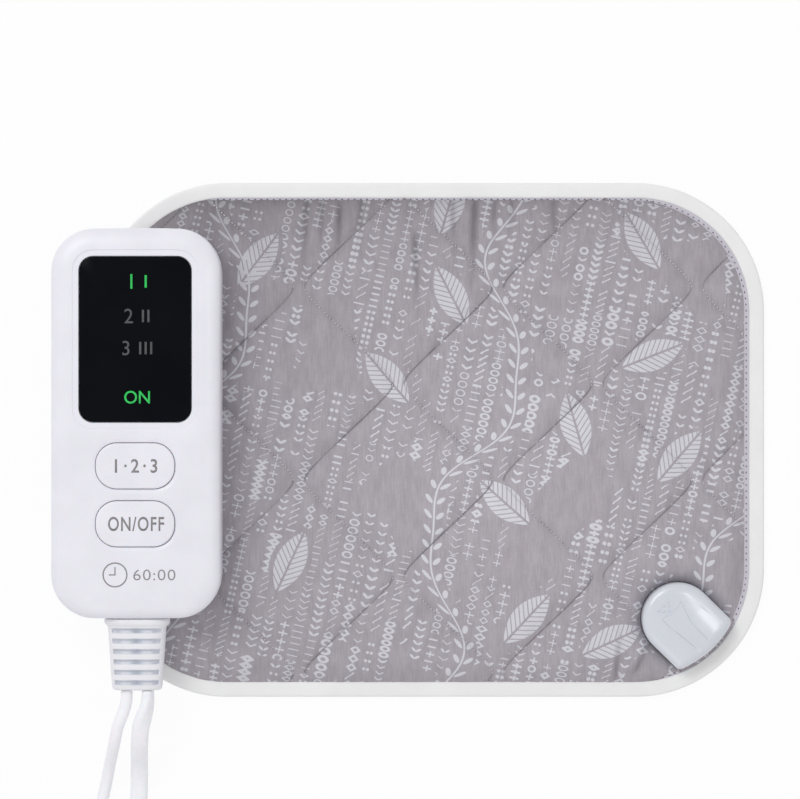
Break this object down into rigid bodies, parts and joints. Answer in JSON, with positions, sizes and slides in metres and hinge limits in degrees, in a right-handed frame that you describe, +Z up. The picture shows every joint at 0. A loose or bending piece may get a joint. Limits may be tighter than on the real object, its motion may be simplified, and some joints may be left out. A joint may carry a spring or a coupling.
{
  "type": "heating pad with hand controller",
  "caption": "Quilted electric heating pad with a bound edge and a corner socket, a hand controller with a lit display and two keys, a flat mains flex with its plug and a round lead to the pad.",
  "frame": {"origin": "on the table, under the middle of the pad and its controller taken together", "axes": "+X along the pad's length towards the socket side, +Y across it towards the top of the controller, +Z up"},
  "size_m": [0.3626, 0.3963, 0.0332],
  "materials": {
    "printed_cloth": "printed plain cotton",
    "back_cloth": "plain weave",
    "felt": "felted",
    "tape": "smooth woven tape",
    "wire_jacket": "smooth",
    "steel": "plated",
    "socket_plastic": "glossy moulded",
    "insulator": "moulded",
    "brass": "bright",
    "case_plastic": "glossy moulded",
    "key_plastic": "glossy moulded",
    "boot_rubber": "satin moulded",
    "window": "polished",
    "led": "diffusing",
    "board": "lacquered",
    "film": "dipped",
    "cord_jacket": "smooth satin"
  },
  "bodies": {
    "root": {"quilted_front": "printed_cloth", "back_cover": "back_cloth", "carrier_felt": "felt", "edge_binding": "tape", "heating_wire": "wire_jacket", "thermostat_1": "steel", "thermostat_2": "steel", "socket_top_shell": "socket_plastic", "socket_base_shell": "socket_plastic", "contact_block": "insulator", "contact_pin_1": "brass", "contact_pin_2": "brass", "contact_pin_3": "brass", "socket_screw_1": "steel", "socket_screw_2": "steel", "rear_shell": "case_plastic", "front_shell": "case_plastic", "strain_relief": "boot_rubber", "display_window": "window", "light_mask": "insulator", "led_1": "led", "led_2": "led", "led_3": "led", "led_4": "led", "circuit_board": "board", "mcu_chip": "insulator", "power_triac": "insulator", "film_capacitor": "film", "fuse": "steel", "switch_body_1": "insulator", "switch_body_2": "insulator", "case_screw_1": "steel", "case_screw_2": "steel", "case_screw_3": "steel", "case_screw_4": "steel", "inner_lead_1": "wire_jacket", "inner_lead_2": "wire_jacket", "inner_lead_3": "wire_jacket", "inner_lead_4": "wire_jacket", "mains_flex": "cord_jacket", "mains_flex_coil": "cord_jacket", "mains_flex_tail": "cord_jacket", "mains_plug": "cord_jacket", "mains_blade_1": "brass", "mains_blade_2": "brass", "pad_lead": "cord_jacket", "pad_lead_coil": "cord_jacket", "pad_lead_tail": "cord_jacket", "pad_plug_shell": "socket_plastic", "pad_plug_tongue": "insulator"},
    "mode_button": {"mode_button": "key_plastic", "switch_plunger_1": "insulator"},
    "power_button": {"power_button": "key_plastic", "switch_plunger_2": "insulator"}
  },
  "joints": [
    {"name": "mode_press", "type": "slide", "parent": "root", "child": "mode_button", "axis": [0, 0, -1], "range_m": [0, 0.0006], "stiffness_N_per_m": 400, "springref_m": -0.0005},
    {"name": "power_press", "type": "slide", "parent": "root", "child": "power_button", "axis": [0, 0, -1], "range_m": [0, 0.0006], "stiffness_N_per_m": 400, "springref_m": -0.0005}
  ]
}
